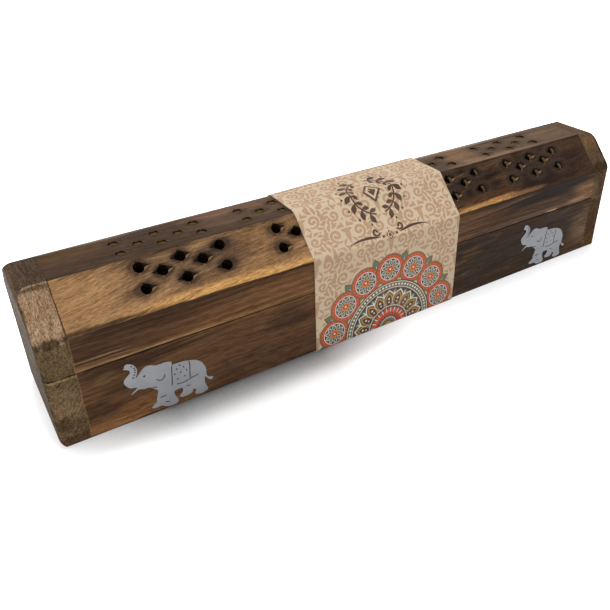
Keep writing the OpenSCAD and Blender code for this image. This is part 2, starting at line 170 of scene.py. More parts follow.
def noise_layers(tree, place, *layers, roughness=0.5):
    """Layers of noise over a place in mm. Each has the sizes in mm of its blotches along the three ways, and
    its detail."""
    made = []
    for sizes, detail in layers:
        vector = add(tree, "VectorMath", place, tuple(1 / size for size in sizes), operation="MULTIPLY")
        noise = {"Vector": vector, "Scale": 1.0, "Detail": detail, "Roughness": roughness}
        made.append(add(tree, "TexNoise", named=noise))
    return made


def finish_material(material, colour, roughness, height, lift_mm, **others):
    """Puts the shader on a material. The others are inputs of the shader by name, with _ for a space."""
    tree = material.node_tree
    bump = add(tree, "Bump", named={"Height": height, "Distance": lift_mm * MM, "Strength": 1.0})
    inputs = {"Base Color": colour, "Roughness": roughness, "Normal": bump}
    inputs.update({name.replace("_", " "): value for name, value in others.items()})
    add(tree, "OutputMaterial", add(tree, "BsdfPrincipled", named=inputs), out=None)
    return material


# The boards' outsides in mm: half the width, heights of the foot, the eaves and the top, half the top's
# width, the height of the burning floor, and the angle by which the slopes lean back
SIDE, FOOT, EAVES, TOP, RIDGE, FLOOR = 27.0, 0.4, 47.9, 64.4, 11.0, 20.4
SLOPE = math.radians(45.88)
RUN, RISE = math.cos(SLOPE), math.sin(SLOPE)


def face_frame(up, out, start):
    """A flat face as the directions up it and out of it, and the point that both are measured from, each as
    Y and Z."""
    return {"up": Vector((0, *up)), "out": Vector((0, *out)), "start": Vector((0, *start))}


FACES = {
    "front": face_frame((0, 1), (-1, 0), (-SIDE, FOOT)),
    "back": face_frame((0, 1), (1, 0), (SIDE, FOOT)),
    "front_slope": face_frame((RUN, RISE), (-RISE, RUN), (-SIDE, EAVES)),
    "back_slope": face_frame((-RUN, RISE), (RISE, RUN), (SIDE, EAVES)),
    "top": face_frame((1, 0), (0, 1), (-RIDGE, TOP)),
    "inside": face_frame((1, 0), (0, 1), (0.0, FLOOR)),
}

# The smoke holes: middles of the groups along the box, rows of a pair and of a single hole up the face,
# and the distance between two columns
TOP_HOLES = ((-95.2, -40.9, 38.4, 95.2), (5.5, 14.96, 10.12))
SLOPE_HOLES = ((-91.5, -32.0, 46.1, 100.7), (9.65, 18.5, 14.94))
HOLE_PITCH = 8.4
# On each pierced face the colours of the gouged tails, of the holes' burnt rims, of their drilled walls and
# of the clean wood left on those. The drilled walls carry painted light and shade: dark on the slopes for the
# shade deep in their holes, light on the top where the lamp above lights them, and the slopes' clean wood is
# a painted highlight on the lit walls.
SLOPE_HOLE_TONES_SHADED = ("#1b120b", "#1c130c", "#21160e", "#e2c08c")
TOP_HOLE_TONES_LIT = ("#5a4733", "#1d130c", "#a0865c", "#a0865c")
HOLE_TONES = {"front_slope": SLOPE_HOLE_TONES_SHADED, "back_slope": SLOPE_HOLE_TONES_SHADED, "top": TOP_HOLE_TONES_LIT}


def board_place(tree, face):
    """Place on a board in mm as one vector, and as its parts along the box, up the face and out of it."""
    lie = FACES[face]
    place = add(tree, "VectorMath", add(tree, "TexCoord", out=3), (1 / MM,) * 3, operation="MULTIPLY")
    parts = []
    for way in (Vector((1, 0, 0)), lie["up"], lie["out"]):
        along = add(tree, "VectorMath", place, tuple(way), operation="DOT_PRODUCT", out=1)
        parts.append(add(tree, "Math", along, -way.dot(lie["start"]), operation="ADD"))
    return add(tree, "CombineXYZ", *parts), parts


def hole_distance(tree, x, up, holes):
    """Distance in mm from the nearest smoke hole. Along the box it is measured short, because the gouged
    tails run that way."""
    groups, rows = holes
    tail_stretch = 1.55
    local = add(tree, "Math", x, -groups[0], operation="ADD")
    for before, after in zip(groups, groups[1:]):
        past = add(tree, "Math", x, (before + after) / 2, operation="GREATER_THAN")
        local = add(tree, "Math", past, before - after, local, operation="MULTIPLY_ADD")
    column = add(tree, "Math", local, 1 / HOLE_PITCH, operation="MULTIPLY")
    nearest = None
    # pairs of holes stand in the columns -2, 0 and 2 of a group, single holes in -1 and 1
    for offset, last, own_rows in ((0, 2, rows[:2]), (1, 1, rows[2:])):
        half = add(tree, "Math", column, 0.5, -0.5 * offset, operation="MULTIPLY_ADD")
        half = add(tree, "Math", half, operation="ROUND")
        whole = add(tree, "Math", half, 2.0, offset, operation="MULTIPLY_ADD")
        kept = add(tree, "Clamp", whole, -last, last)
        aside = add(tree, "Math", column, kept, operation="SUBTRACT")
        aside = add(tree, "Math", aside, HOLE_PITCH / tail_stretch, operation="MULTIPLY")
        above = None
        for row in own_rows:
            off = add(tree, "Math", add(tree, "Math", up, -row, operation="ADD"), operation="ABSOLUTE")
            above = off if above is None else add(tree, "Math", above, off, operation="MINIMUM")
        away = add(tree, "VectorMath", add(tree, "CombineXYZ", aside, above), operation="LENGTH", out=1)
        nearest = away if nearest is None else add(tree, "Math", nearest, away, operation="MINIMUM")
    return nearest


def smoked(tree, face, place, away, normal, tone, worked):
    """The colour of the wood round the smoke holes and inside them: a haze of smoke, a burnt ring, then below
    the face the gouged tails, and the drilled walls with their rims. Away is the distance from the holes, and
    place is where along the box and how far out of the face, all in mm."""
    looks = bpy.context.scene.incense_wood
    x, out = place
    tail, rim, drilled, clean = map(tint, HOLE_TONES[face])
    # the top is scorched all over, so smoke shows half as much on it
    strength = 0.5 if face == "top" else 1.0
    haze = add(tree, "MapRange", away, 2.4, 6.2, 0.5 * strength, 0.0, interpolation_type="SMOOTHSTEP")
    burnt = add(tree, "MapRange", away, 2.3, 3.6, 0.6 * strength, 0.0, interpolation_type="SMOOTHSTEP")
    smoke = add(tree, "VectorMath", tuple(looks.smoke)[:3], tone, operation="MULTIPLY")
    # the tails slant, the drilled walls stand square to the face, and the board's inside looks away from it
    square = add(tree, "VectorMath", normal, tuple(FACES[face]["out"]), operation="DOT_PRODUCT", out=1)
    outside = add(tree, "MapRange", square, -0.6, -0.5, 0.0, 1.0)
    deep = add(tree, "MapRange", out, -0.12, -0.04, 1.0, 0.0)
    deep = add(tree, "Math", deep, outside, operation="MULTIPLY")
    walls = add(tree, "MapRange", square, 0.2, 0.3, 1.0, 0.0)
    walls = add(tree, "Math", walls, deep, operation="MULTIPLY")
    # the gouge cuts fresh wood on one side of a tail, put on the walls that face up and to the left towards
    # the lamps, so it is partly painted light; more of it shows where the board is darker
    facing = FACES[face]["up"] * 0.8 + Vector((-0.6, 0, 0))
    cut = add(tree, "VectorMath", normal, tuple(facing), operation="DOT_PRODUCT", out=1)
    cut = add(tree, "MapRange", cut, 0.45, 0.55, 0.0, 0.75)
    depth = add(tree, "Math", out, add(tree, "MapRange", x, -20, 60, 0.6, 1.5), operation="ADD")
    # in the right half of the box a little clean wood shows on the walls that look left, towards the lamps: a
    # painted highlight
    bare = add(tree, "VectorMath", normal, (-1, 0, 0), operation="DOT_PRODUCT", out=1)
    bare = add(tree, "MapRange", bare, 0.6, 0.95, 0.0, 0.65)
    for share in (deep, add(tree, "MapRange", depth, -0.15, 0.15, 0.0, 1.0)):
        cut = add(tree, "Math", cut, share, operation="MULTIPLY")
    for share in (add(tree, "MapRange", out, -2.9, -1.9, 0.0, 1.0), add(tree, "MapRange", x, 0, 45)):
        bare = add(tree, "Math", bare, share, operation="MULTIPLY")
    inner = drilled
    for share, patch in ((bare, clean), (add(tree, "MapRange", out, -1.2, -0.7, 0.0, 1.0), rim)):
        inner = add(tree, "Mix", share, named={6: inner, 7: patch}, out=2, data_type="RGBA")
    char, fresh = tuple(looks.char), tuple(looks.fresh)
    for share, patch in ((haze, smoke), (burnt, char), (deep, tail), (cut, fresh), (walls, inner)):
        worked = add(tree, "Mix", share, named={6: worked, 7: patch}, out=2, data_type="RGBA")
    return worked


# Grain as three layers of noise, each with its widths in mm along the grain, up the face and into the wood:
# the figure, the streaks of early and late wood, and the open pores, drawn twice as wide as real ones
BOARD_GRAIN = ((120, 5.0, 5.0), (60, 1.3, 1.3), (5.0, 0.42, 0.42))
FRONT_GRAIN = ((34, 4.6, 4.6), (26, 1.15, 1.15), (4.2, 0.4, 0.4))
SLOPE_GRAIN = ((60, 6.0, 6.0), (12.0, 0.8, 0.8), (2.4, 0.38, 0.38))
# An end block's fibres run from front to back, so its front shows their cut ends. Its rings stand upright.
BLOCK_GRAIN = ((5.5, 4.0, 26), (1.0, 0.85, 10), (0.5, 0.45, 3.5))
LID_BLOCK_GRAIN = ((5.0, 16, 26), (0.9, 4.0, 7), (0.42, 0.8, 1.2))


def mango_wood(name, face, colour, marks, holes=None, lean=0.0, seed=0.0, contrast=1.0, pores=0.3,
               grain=BOARD_GRAIN, pits=0.0, upper=(), wax=0.1):
    """Mango wood, sawn, scorched with a flame and waxed: long streaks of darker and lighter brown, short open
    pores, a satin sheen, and darker char where the flame stayed. Marks are soft patches on the face, each
    (x, up, reach along, reach up, colour, strength) in mm. The grain leans by some degrees, and the seed
    shifts it. Pits are torn fibres in end grain. Upper gives the colours of a block's sloping faces and of
    its top. Wax is the strength of the sheen."""
    material, tree = new_material(name)
    place, (x, up, out) = board_place(tree, face)
    turned = add(tree, "VectorRotate", place, named={"Axis": (0, 0, 1), "Angle": math.radians(lean)})
    turned = add(tree, "VectorMath", turned, (seed * 37.0, seed * 11.0, seed * 5.0), operation="ADD")
    # the grain wanders by a few millimetres over a hand's width
    sway = add(tree, "VectorMath", turned, (1 / 75, 1 / 40, 1 / 40), operation="MULTIPLY")
    sway = add(tree, "TexNoise", named={"Vector": sway, "Scale": 1.0, "Detail": 1.0}, out=1)
    sway = add(tree, "VectorMath", sway, (0.5, 0.5, 0.5), operation="SUBTRACT")
    sway = add(tree, "VectorMath", sway, (0, 9.0, 9.0), turned, operation="MULTIPLY_ADD")
    figure, streak, pore = noise_layers(tree, sway, *zip(grain, (3.0, 3.0, 1.0)), roughness=0.6)
    # patches of smoke and flame end along the grain's own streaks
    ragged = add(tree, "Math", figure, 2.2, -1.6, operation="MULTIPLY_ADD")
    ragged = add(tree, "Math", streak, 1.0, ragged, operation="MULTIPLY_ADD")
    mean = colour
    normal = add(tree, "TexCoord", out=1)
    if upper:
        # the sloping faces look upwards, and of those the top looks neither to the front nor to the back
        raised = add(tree, "VectorMath", normal, (0, 0, 1), operation="DOT_PRODUCT", out=1)
        raised = add(tree, "MapRange", raised, 0.3, 0.4, 0.0, 1.0)
        slanted = add(tree, "VectorMath", normal, (0, 1, 0), operation="DOT_PRODUCT", out=1)
        level = add(tree, "MapRange", add(tree, "Math", slanted, operation="ABSOLUTE"), 0.3, 0.4, 1.0, 0.0)
        level = add(tree, "Math", raised, level, operation="MULTIPLY")
        for share, patch in zip((raised, level), upper):
            mean = add(tree, "Mix", share, named={6: mean, 7: tint(patch)}, out=2, data_type="RGBA")
    for at_x, at_up, reach_x, reach_up, patch, strength in marks:
        local = add(tree, "VectorMath", place, (at_x, at_up, 0), operation="SUBTRACT")
        local = add(tree, "VectorMath", local, (1 / reach_x, 1 / reach_up, 0), operation="MULTIPLY")
        away = add(tree, "VectorMath", local, operation="LENGTH", out=1)
        away = add(tree, "Math", away, ragged, operation="ADD")
        share = add(tree, "MapRange", away, 0.4, 1.2, strength, 0.0, interpolation_type="SMOOTHSTEP")
        mean = add(tree, "Mix", share, named={6: mean, 7: tint(patch)}, out=2, data_type="RGBA")
    # the dark wood of a streak is redder than the light
    by_figure, by_streak = 1.5, 3.4
    tone = add(tree, "Math", figure, by_figure, 0.5 - 0.5 * (by_figure + by_streak), operation="MULTIPLY_ADD")
    tone = add(tree, "Math", streak, by_streak, tone, operation="MULTIPLY_ADD")
    dark = [1 - contrast * share for share in (0.36, 0.41, 0.46)]
    light = [1 + contrast * share for share in (0.34, 0.34, 0.32)]
    tone = add(tree, "Mix", tone, named={6: (*dark, 1), 7: (*light, 1)}, out=2, data_type="RGBA")
    open_pore = add(tree, "MapRange", pore, 0.34, 0.62, 1 - pores, 1 + 0.6 * pores,
                    interpolation_type="SMOOTHSTEP")
    tone = add(tree, "VectorMath", tone, named={"Scale": open_pore}, operation="SCALE")
    if pits:
        # the saw tears the fibres aslant
        slant = add(tree, "VectorRotate", turned, named={"Axis": (0, 0, 1), "Angle": math.radians(-52)})
        torn, = noise_layers(tree, slant, ((3.4, 0.7, 6.0), 2.0))
        torn = add(tree, "MapRange", torn, 0.56, 0.66, 1.0, 1 - pits, interpolation_type="SMOOTHSTEP")
        tone = add(tree, "VectorMath", tone, named={"Scale": torn}, operation="SCALE")
    worked = add(tree, "VectorMath", mean, tone, operation="MULTIPLY")
    height = add(tree, "Math", add(tree, "Math", pore, streak, operation="ADD"), 0.6, operation="MULTIPLY")
    if holes:
        away = add(tree, "Math", ragged, 0.8, hole_distance(tree, x, up, holes), operation="MULTIPLY_ADD")
        worked = smoked(tree, face, (x, out), away, normal, tone, worked)
    roughness = add(tree, "MapRange", streak, 0.3, 0.7, 0.66, 0.5)
    return finish_material(material, worked, roughness, height, 0.1, IOR=1.5, Specular_IOR_Level=wax)


# Soft patches on each board, as (x, up, reach along, reach up, colour, strength). Most are the wood's own
# scorch and tone; those noted below are painted light and shade.
FRONT_MARKS = (
    (-115, 47.5, 62, 5.5, "#38261c", 0.85),
    (-45, 48.5, 60, 3, "#4a3221", 0.85),
    (-50, 41, 40, 4, "#8a613c", 0.4),
    (-54, 36, 60, 6, "#8a6240", 0.5),
    (-128, 37.5, 14, 3, "#4b3322", 0.7),
    (-138, 47, 5, 3, "#5d432d", 0.6),
    (-130, 32.9, 400, 1.6, "#a17a4f", 0.6),
    (-125, 29.6, 46, 3.2, "#412b1d", 0.85),
    (-128, 20.5, 7, 5.0, "#49341f", 0.55),
    (-131, 26, 5, 2.4, "#6f5b3c", 0.5),
    (-126, 2.8, 34, 5, "#a3754a", 0.75),
    (-137, 11.5, 10, 5.5, "#4c3423", 0.85),
    (-120, 8, 9, 3.6, "#8a5f3d", 0.75),
    (-60, 8, 50, 12, "#5c4230", 0.7),
    (-52, 25, 12, 8, "#402c1f", 0.6),
    (98, 20, 70, 40, "#2c1e13", 0.95),
    (-119, 39, 26, 10, "#4f3727", 0.45),
    (52, 41, 24, 8, "#664a36", 0.6),
    (74, 46.0, 18, 3.0, "#33271f", 0.6),
    (95, 48.9, 90, 3.6, "#211409", 0.9),
    (112, 45.5, 30, 5.0, "#190d04", 0.95),
    (82, 33.6, 66, 1.8, "#725a48", 0.8),
    (131, 34.0, 13, 2.2, "#a17c58", 0.85),
    (139, 38.5, 14, 5, "#8e6b4a", 0.85),
    (138, 14, 11, 12, "#7d634c", 0.75),
    (62, 11, 34, 15, "#2f2218", 0.85),
    # painted shadow of the card band's right edge
    (46, 13, 7, 17, "#281c13", 0.6),
    # painted light, lifting the foot of the board out of the floor's shade
    (70, 3.0, 110, 4.5, "#3c2f25", 0.6),
    (-132, 36.4, 16, 0.35, "#c0a072", 0.5),
    (-128, 34.8, 14, 0.3, "#a5845a", 0.45),
    (0, 32.0, 900, 0.32, "#21160f", 0.9),
    (-120, 32.9, 45, 0.4, "#b6966b", 0.6),
    (110, 32.8, 5, 0.6, "#c9ab80", 0.9),
    (-140.9, 24, 0.35, 80, "#a98c62", 0.35),
    (0, 0.2, 900, 0.9, "#2a1c13", 0.8),
)
SLOPE_MARKS = (
    (-88, 14.5, 36, 10, "#66503f", 0.6),
    (-74, 15.5, 13, 7, "#4c392d", 0.65),
    (-50, 16, 22, 12, "#876344", 0.6),
    (-62, 6.2, 34, 3.2, "#8f6b48", 0.6),
    (-64, 1.4, 66, 2.6, "#dba768", 0.95),
    (-75, 22.5, 66, 2.6, "#604a31", 0.6),
    (120, 12, 104, 200, "#412c1d", 1.0),
    (125, 12, 140, 200, "#432e1f", 1.0),
    (76, 18, 18, 7, "#664a35", 0.6),
    (110, 12, 30, 13, "#23150d", 0.9),
    (96, 14, 22, 9, "#1c130d", 0.8),
    (53, 13.5, 26, 13, "#160c05", 1.0),
    # painted shadow of the card band's right edge
    (46, 15, 9, 11, "#1a0f08", 0.6),
    (62, 5, 22, 2.2, "#553822", 0.8),
    (62, 0.9, 32, 2.2, "#c8935c", 0.95),
    (88, 1.0, 14, 1.6, "#7d5a42", 0.7),
    (126, 19, 18, 3.5, "#4f3826", 0.8),
    (-134, 1.0, 30, 1.35, "#483322", 0.95),
    (0, -0.2, 900, 0.7, "#2d1e14", 0.9),
    (60, 22.7, 180, 0.9, "#2c1d14", 0.8),
    (-140.9, 12, 0.4, 60, "#3e2b1c", 0.9),
)
TOP_MARKS = (
    (-110, 12, 84, 30, "#4a3120", 0.95),
    (-95, 2, 90, 5, "#382614", 0.8),
    (-98, 14, 18, 7, "#35251a", 0.6),
    (-132, 16, 26, 6, "#5f4526", 0.6),
    (-56, 14, 30, 14, "#6b523f", 0.75),
    (-60, 17.5, 22, 3.5, "#8a6450", 0.6),
    (-60, 10.5, 12, 3.0, "#4f3b2d", 0.5),
    (-66, 2.5, 26, 3.0, "#453228", 0.5),
    (98, 13, 84, 24, "#735842", 0.9),
    (64, 13, 14, 10, "#8a6a4e", 0.7),
    # painted shadow of the card band's right edge
    (48, 8, 9, 8, "#45372a", 0.75),
    (76, 1.2, 36, 3.4, "#93735a", 0.85),
    (98, 12, 26, 7, "#493a2e", 0.7),
    (0, 0.0, 900, 0.7, "#3a2a20", 0.6),
    # painted highlight along the top's far edge
    (10, 21.8, 130, 2.0, "#b9aca2", 0.75),
    (-140.9, 11, 0.5, 60, "#2a1d14", 0.7),
)
BACK_MARKS = (
    (-90, 40, 80, 10, "#4e3623", 0.7),
    (40, 30, 90, 8, "#996e4a", 0.6),
    (110, 10, 60, 12, "#453831", 0.7),
    (-20, 6, 80, 8, "#553d2c", 0.6),
)
BACK_SLOPE_MARKS = (
    (60, 10, 70, 14, "#594432", 0.8),
    (-60, 2, 90, 3, "#b2834c", 0.6),
    (0, 23, 300, 2, "#4e3a2c", 0.6),
)
BLOCK_MARKS = (
    (-147, 2, 12, 5, "#654b38", 0.85),
    (-147, 24, 12, 5, "#846f52", 0.6),
    (-147, 17.5, 10, 3.5, "#957c5c", 0.7),
    (-150, 10, 8, 5, "#554532", 0.7),
    (-147, 31.4, 30, 0.6, "#a8926a", 0.8),
    (-147, 32.2, 30, 0.35, "#21180f", 0.9),
    (147, 20, 12, 40, "#594330", 0.95),
    (147, 3, 12, 7, "#775a38", 0.6),
    (147, 31.6, 30, 0.6, "#8d7350", 0.6),
    # painted shade on the near end face
    (-153, 16, 1.3, 60, "#534534", 0.8),
)
LID_BLOCK_MARKS = (
    # painted highlight on the near top corner
    (-151.8, 64.5, 1.8, 2.2, "#7d693f", 0.35),
    (-147, 62.9, 12, 0.8, "#5d4933", 0.8),
    (-147, 57.5, 12, 4.5, "#a78463", 0.6),
    (-147, 51.5, 12, 3.0, "#b89a78", 0.6),
    (-147, 47.3, 12, 1.3, "#4a3826", 0.9),
    (-147, 37, 12, 5, "#6f5c42", 0.7),
    (-147, 33.2, 12, 1.6, "#604d37", 0.7),
    (-147, 32.2, 30, 0.35, "#241a11", 0.9),
    (147, 56, 14, 40, "#624c39", 0.9),
    (147, 60, 8, 3.0, "#866a45", 0.7),
    (147, 48.5, 8, 2.5, "#2f241a", 0.7),
    (147, 65, 14, 1.5, "#76614a", 0.8),
    (152.6, 54, 1.6, 60, "#2a211a", 0.8),
    # painted shade on the near end face
    (-153, 46, 1.3, 60, "#514433", 0.8),
)
FLOOR_MARKS = (
    (-61, 0, 34, 20, "#4a3627", 0.8),
    (20, 0, 90, 8, "#5d4531", 0.7),
    (0, 22, 300, 4, "#6d5238", 0.7),
    (0, -22, 300, 4, "#6d5238", 0.7),
)
PANEL_MARKS = ((-40, 0, 120, 9, "#876441", 0.6),)

# Each kind of wood as its name, its face, its colour, its patches, its nodes and what else sets it apart
BOARDS = (
    ("scorched_mango_base_front", "front", "front", FRONT_MARKS, ("base_front_rail",),
     {"lean": -1.5, "contrast": 0.8, "grain": FRONT_GRAIN, "seed": 1.0}),
    ("scorched_mango_lid_front", "front", "front", FRONT_MARKS, ("lid_front_rail",), {"seed": 2.3}),
    ("scorched_mango_back", "back", "front", BACK_MARKS, ("base_back_rail", "lid_back_rail"), {"seed": 3.1}),
    ("scorched_mango_slope", "front_slope", "slope", SLOPE_MARKS, ("lid_front_slat",),
     {"holes": SLOPE_HOLES, "lean": -7.0, "contrast": 0.46, "grain": SLOPE_GRAIN, "seed": 4.7}),
    ("scorched_mango_back_slope", "back_slope", "back", BACK_SLOPE_MARKS, ("lid_back_slat",),
     {"holes": SLOPE_HOLES, "lean": 4.0, "contrast": 0.8, "seed": 5.9}),
    ("scorched_mango_top", "top", "top", TOP_MARKS, ("lid_top_slat",),
     {"holes": TOP_HOLES, "lean": 1.0, "contrast": 0.55, "seed": 6.2}),
)
BLOCKS = (
    ("mango_end_grain_base", "front", "block", BLOCK_MARKS, ("base_left_end", "base_right_end"),
     {"contrast": 0.8, "grain": BLOCK_GRAIN, "pits": 0.5, "seed": 7.4, "wax": 0.02}),
    ("mango_end_grain_lid", "front", "block", LID_BLOCK_MARKS, ("lid_left_end", "lid_right_end"),
     {"contrast": 0.65, "pores": 0.4, "grain": LID_BLOCK_GRAIN, "pits": 0.25, "seed": 8.8,
      "upper": ("#a2886e", "#57473a"), "wax": 0.02}),
)
INSIDES = (
    ("sooty_mango_floor", "inside", "plain", FLOOR_MARKS, ("burner_floor",), {"contrast": 0.6, "seed": 9.5}),
    ("sanded_mango_panel", "inside", "plain", PANEL_MARKS, ("storage_panel",),
     {"contrast": 0.6, "seed": 10.3}),
)


def finish_nodes(material, *names):
    """Gives CAD nodes their material."""
    for name in names:
        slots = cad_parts[name].data.materials
        slots.clear()
        slots.append(material)


def finish_wood(looks, kinds):
    """Makes each kind of wood and gives it to its nodes."""
    for name, face, colour, marks, nodes, others in kinds:
        finish_nodes(mango_wood(name, face, tuple(getattr(looks, colour)), marks, **others), *nodes)


class INCENSE_OT_boards(bpy.types.Operator):
    """Finishes the long boards of the base and lid in scorched mango wood"""

    bl_idname = "incense.boards"
    bl_label = "Boards"

    def execute(self, context):
        finish_wood(context.scene.incense_wood, BOARDS)
        return {"FINISHED"}


class INCENSE_OT_blocks(bpy.types.Operator):
    """Finishes the end blocks, whose fronts show the wood's end grain, which drinks the wax and stays dull"""

    bl_idname = "incense.blocks"
    bl_label = "End blocks"

    def execute(self, context):
        finish_wood(context.scene.incense_wood, BLOCKS)
        return {"FINISHED"}


class INCENSE_OT_inside(bpy.types.Operator):
    """Finishes the burning floor and the storage panel in sanded wood"""

    bl_idname = "incense.inside"
    bl_label = "Inside"

    def execute(self, context):
        finish_wood(context.scene.incense_wood, INSIDES)
        return {"FINISHED"}


def satin_aluminium():
    """Thin aluminium sheet, rubbed with a scouring pad: a pale grey satin with fine scratches, and dark wax
    in the engraved lines, which lie a quarter of a millimetre below the metal's face. The wax isn't metal."""
    looks = bpy.context.scene.incense_metal
    material, tree = new_material("satin_aluminium_inlay")
    place, (x, up, out) = board_place(tree, "front")
    rub, cloud = noise_layers(tree, place, ((5.0, 0.35, 2.0), 3.0), ((9.0,) * 3, 2.0))
    both = add(tree, "Math", rub, cloud, operation="ADD")
    shade = add(tree, "MapRange", both, 0.7, 1.3, 0.86, 1.1)
    # painted light and shade: the feet are lightened against the floor's shadow, and the right sheet is
    # darkened
    painted_light_at_feet = add(tree, "MapRange", up, 2.0, 12.0, 1.25, 1.0)
    for change in (painted_light_at_feet, add(tree, "MapRange", x, -60, 60, 1.0, 0.85)):
        shade = add(tree, "Math", shade, change, operation="MULTIPLY")
    colour = add(tree, "VectorMath", tuple(looks.aluminium)[:3], named={"Scale": shade}, operation="SCALE")
    waxed = add(tree, "MapRange", out, 0.0, 0.1, 1.0, 0.0)
    colour = add(tree, "Mix", waxed, named={6: colour, 7: tuple(looks.engraving)}, out=2, data_type="RGBA")
    # oxide and dust veil the sheet, so that it mirrors far less than clean metal
    metal = add(tree, "MapRange", waxed, 0.0, 1.0, 0.35, 0.0)
    roughness = add(tree, "MapRange", rub, 0.3, 0.7, 0.42, 0.58)
    return finish_material(material, colour, roughness, rub, 0.02, Metallic=metal)


def stamped_brass(name, wear):
    """Rolled brass, stamped and never lacquered: warm yellow, dulled by patches of brown tarnish."""
    looks = bpy.context.scene.incense_metal
    material, tree = new_material(name)
    place, _ = board_place(tree, "front")
    patch, grit = noise_layers(tree, place, ((3.5,) * 3, 4.0), ((4.0, 0.3, 0.3), 2.0))
    share = add(tree, "MapRange", patch, 0.4, 0.65, 0.0, wear, interpolation_type="SMOOTHSTEP")
    clean, dull = tuple(looks.brass), tuple(looks.tarnish)
    colour = add(tree, "Mix", share, named={6: clean, 7: dull}, out=2, data_type="RGBA")
    roughness = add(tree, "Math", grit, 0.25, operation="MULTIPLY")
    roughness = add(tree, "Math", patch, 0.3, roughness, operation="MULTIPLY_ADD")
    return finish_material(material, colour, roughness, grit, 0.02, Metallic=1.0)


class INCENSE_OT_metal(bpy.types.Operator):
    """Finishes the aluminium elephants and the brass fittings"""

    bl_idname = "incense.metal"
    bl_label = "Inlays and brass"

    def execute(self, context):
        finish_nodes(satin_aluminium(), "elephant_left", "elephant_right")
        finish_nodes(stamped_brass("stamped_brass_burner", 0.8), "stick_holder", "cone_dish")
        leaves = [f"{side}_hinge_{part}" for side in ("left", "right") for part in ("base_leaf", "lid_leaf")]
        finish_nodes(stamped_brass("stamped_brass_hinge", 0.6), *leaves)
        finish_nodes(stamped_brass("drawn_brass_nails", 0.9), "stick_holder_nails", "cone_dish_nail",
                     "hinge_base_nails", "hinge_lid_nails", "left_hinge_pin", "right_hinge_pin")
        return {"FINISHED"}


# The card band. Its print is drawn flat: x runs along the box, and s runs round it, from the fold under the
# front up the front and over the top. All of it is in mm.


def rounded_path(corners, radii, steps):
    """A path of [y, z] points through corners, each turned with its radius. A close pair of points before
    and after each turn keeps the flats' shading flat."""
    guard = 0.5
    path = [Vector(corners[0])]
    for before, corner, after, radius in zip(corners, corners[1:], corners[2:], radii):
        a, b, c = Vector(before), Vector(corner), Vector(after)
        into, away = (b - a).normalized(), (c - b).normalized()
        turn = math.atan2(into.x * away.y - into.y * away.x, into.dot(away))
        cut = radius * math.tan(abs(turn) / 2)
        side = Vector((-into.y, into.x)) * (1 if turn > 0 else -1)
        centre = b - into * cut + side * radius
        start = math.atan2(*reversed(b - into * cut - centre))
        path.append(b - into * (cut + guard))
        for i in range(steps + 1):
            angle = start + turn * i / steps
            path.append(Vector((centre.x + radius * math.cos(angle), centre.y + radius * math.sin(angle))))
        path.append(b + away * (cut + guard))
    path.append(Vector(corners[-1]))
    return path


def fold_index(sizes, turn):
    """Which point of the path lies in the middle of a turn: the first point comes before all turns, and each
    turn has its steps and three points more."""
    return 1 + turn * (sizes.steps + 3) + 1 + sizes.steps // 2


def band_path(sizes, fold):
    """The outside of the band and its length up to each point, from the inner end of its flap down the back,
    under the box, up the front, over the top and down the back again, where it lies on the flap."""
    (_, low_y, _), (_, high_y, top) = [tuple(c / MM for c in corner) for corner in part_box("card_band")]
    foot, eaves, ridge = (v / MM for v in (sizes.foot, sizes.eaves, sizes.ridge))
    flap_low, lap_radius = 4.0, 3.0
    flap_top = flap_low + sizes.flap / MM
    # just above the flap the outer end steps out by a little more than the card, and lies on it
    outer_y, leaves, lands = high_y + 1.05 * sizes.card / MM, flap_top + 3.5, flap_top + 0.8
    corners = [
        (high_y, flap_top), (high_y, 0.0), (low_y, 0.0), (low_y, eaves), (-ridge, top), (ridge, top),
        (high_y, eaves), (high_y, leaves), (outer_y, lands), (outer_y, flap_low),
    ]
    path = rounded_path(corners, [foot, foot, *[fold / MM] * 4, lap_radius, lap_radius], sizes.steps)
    lengths = [0.0]
    for a, b in zip(path, path[1:]):
        lengths.append(lengths[-1] + (b - a).length)
    # s is nought in the middle of the fold under the front, which is turn 1
    zero = lengths[fold_index(sizes, 1)]
    return path, [v - zero for v in lengths]


def spot(x, s, r, sides=14):
    """A round spot of ink."""
    angles = [2 * math.pi * i / sides for i in range(sides)]
    return [(x + r * math.cos(a), s + r * math.sin(a)) for a in angles]


def ribbon(line, widths):
    """A stroke of changing width along a line. Where the width is nought, it ends in a point."""
    left, right = [], []
    for i, (x, s) in enumerate(line):
        x0, s0 = line[max(i - 1, 0)]
        x1, s1 = line[min(i + 1, len(line) - 1)]
        run = math.hypot(x1 - x0, s1 - s0) or 1.0
        nx, ns = -(s1 - s0) / run * widths[i] / 2, (x1 - x0) / run * widths[i] / 2
        left.append((x + nx, s + ns))
        if widths[i] > 0.0:
            right.append((x - nx, s - ns))
    return left + right[::-1]


def leaf(root, tip, width, bend=0.0, full=0.55, steps=9):
    """A pointed leaf from its root to its tip, bowed sideways by bend. It is fullest at the share full."""
    dx, ds = tip[0] - root[0], tip[1] - root[1]
    long, skew = math.hypot(dx, ds), math.log(0.5) / math.log(full)
    line, widths = [], []
    for i in range(steps + 1):
        t = i / steps
        bow = bend * math.sin(math.pi * t)
        line.append((root[0] + dx * t - ds / long * bow, root[1] + ds * t + dx / long * bow))
        widths.append(0.0 if i in (0, steps) else width * math.sin(math.pi * t ** skew))
    return ribbon(line, widths)


